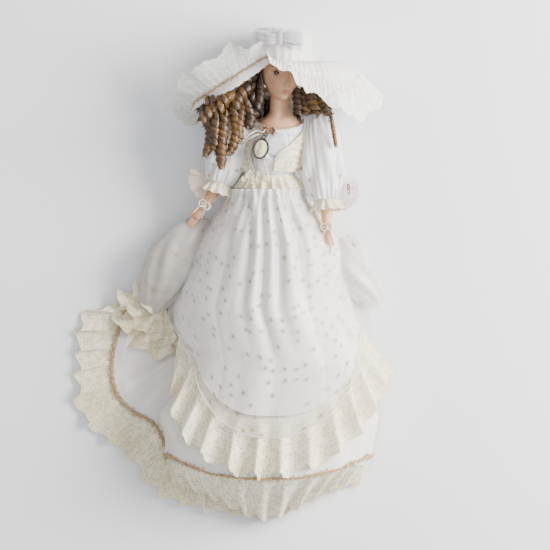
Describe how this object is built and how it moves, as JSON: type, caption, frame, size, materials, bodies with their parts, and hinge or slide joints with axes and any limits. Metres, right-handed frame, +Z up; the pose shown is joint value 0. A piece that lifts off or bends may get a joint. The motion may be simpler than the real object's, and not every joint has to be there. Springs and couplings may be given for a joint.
{
  "type": "porcelain doll",
  "caption": "Porcelain lady doll in a layered satin, organza and lace gown with a wide brimmed hat, lying on its back.",
  "frame": {"origin": "centre of the footprint, on the surface that the doll lies on", "axes": "+Y from the feet to the head, +X to the doll's own left, +Z up from the surface"},
  "size_m": [0.281, 0.458, 0.0883],
  "materials": {
    "porcelain_skin": "bisque porcelain, warm tan, matt",
    "eye_glass": "dark brown glass",
    "pearl": "pearl",
    "hair": "golden brown synthetic curls",
    "calico": "plain stuffed cotton",
    "satin": "white satin, soft sheen",
    "organza": "sheer organza with small woven stars",
    "grey_organza": "sheer greyish organza",
    "lace": "cream lace",
    "braid": "tan braid",
    "tulle": "soft tulle",
    "ribbon": "narrow satin ribbon",
    "flower": "brown cloth flower",
    "cream_flower": "cream cloth flowers",
    "cameo_metal": "black enamelled rim",
    "cameo_resin": "cream moulded oval",
    "wire": "armature wire",
    "shoe": "white slipper"
  },
  "bodies": {
    "torso": {"shoulder_head": "porcelain_skin", "eye_left": "eye_glass", "eye_right": "eye_glass", "earring_left": "pearl", "earring_right": "pearl", "ringlets_left": "hair", "ringlets_right": "hair", "ringlets_back": "hair", "head_pate": "calico", "wig_cap": "calico", "torso_cloth": "calico", "petticoat": "calico", "bodice": "satin", "underskirt": "satin", "train": "satin", "apron": "satin", "apron_organza": "organza", "pannier_left": "organza", "pannier_right": "grey_organza", "lapel_left": "lace", "lapel_right": "lace", "waist_lace": "lace", "lace_tier": "lace", "hem_flounce": "lace", "train_flounce": "lace", "side_ruffle": "lace", "hem_braid": "braid", "train_braid": "braid", "neck_ribbon": "ribbon", "bodice_string": "ribbon", "flower_clasp": "flower", "waist_flowers": "cream_flower"},
    "hat": {"hat_crown": "satin", "hat_brim": "satin", "hat_braid": "braid", "hat_ruffle": "lace", "hat_bow": "tulle"},
    "left_arm": {"upper_arm_left": "calico", "arm_wire_left": "wire", "sleeve_left": "satin", "sleeve_cuff_left": "lace"},
    "right_arm": {"upper_arm_right": "calico", "arm_wire_right": "wire", "sleeve_right": "satin", "sleeve_cuff_right": "lace"},
    "left_forearm": {"forearm_left": "porcelain_skin", "wrist_ribbon_left": "ribbon"},
    "right_forearm": {"forearm_right": "porcelain_skin", "wrist_ribbon_right": "ribbon"},
    "left_leg": {"thigh_left": "calico", "bloomer_left": "calico", "lower_leg_left": "porcelain_skin", "shoe_left": "shoe"},
    "right_leg": {"thigh_right": "calico", "bloomer_right": "calico", "lower_leg_right": "porcelain_skin", "shoe_right": "shoe"},
    "cameo": {"cameo_frame": "cameo_metal", "cameo_stone": "cameo_resin"}
  },
  "joints": [
    {"name": "hat_lift_off", "type": "slide", "parent": "torso", "child": "hat", "axis": [0, 1, 0], "range_m": [0, 0.07]},
    {"name": "left_shoulder", "type": "hinge", "parent": "torso", "child": "left_arm", "pos_m": [0.08, 0.143, 0.0285], "axis": [0, 0, 1], "range_deg": [0, 30]},
    {"name": "right_shoulder", "type": "hinge", "parent": "torso", "child": "right_arm", "pos_m": [0.006, 0.141, 0.0275], "axis": [0, 0, -1], "range_deg": [0, 30]},
    {"name": "left_elbow", "type": "hinge", "parent": "left_arm", "child": "left_forearm", "pos_m": [0.0875, 0.067, 0.036], "axis": [-1, 0, 0], "range_deg": [0, 45]},
    {"name": "right_elbow", "type": "hinge", "parent": "right_arm", "child": "right_forearm", "pos_m": [-0.012, 0.084, 0.028], "axis": [-1, 0, 0], "range_deg": [0, 45]},
    {"name": "left_hip", "type": "hinge", "parent": "torso", "child": "left_leg", "pos_m": [0.048, 0.051, 0.0245], "axis": [0, 0, 1], "range_deg": [0, 5]},
    {"name": "right_hip", "type": "hinge", "parent": "torso", "child": "right_leg", "pos_m": [0.016, 0.051, 0.0245], "axis": [0, 0, -1], "range_deg": [0, 5]},
    {"name": "cameo_swing", "type": "hinge", "parent": "torso", "child": "cameo", "pos_m": [0.02987, 0.12772, 0.0516], "axis": [0, 0, 1], "range_deg": [-20, 20]}
  ]
}
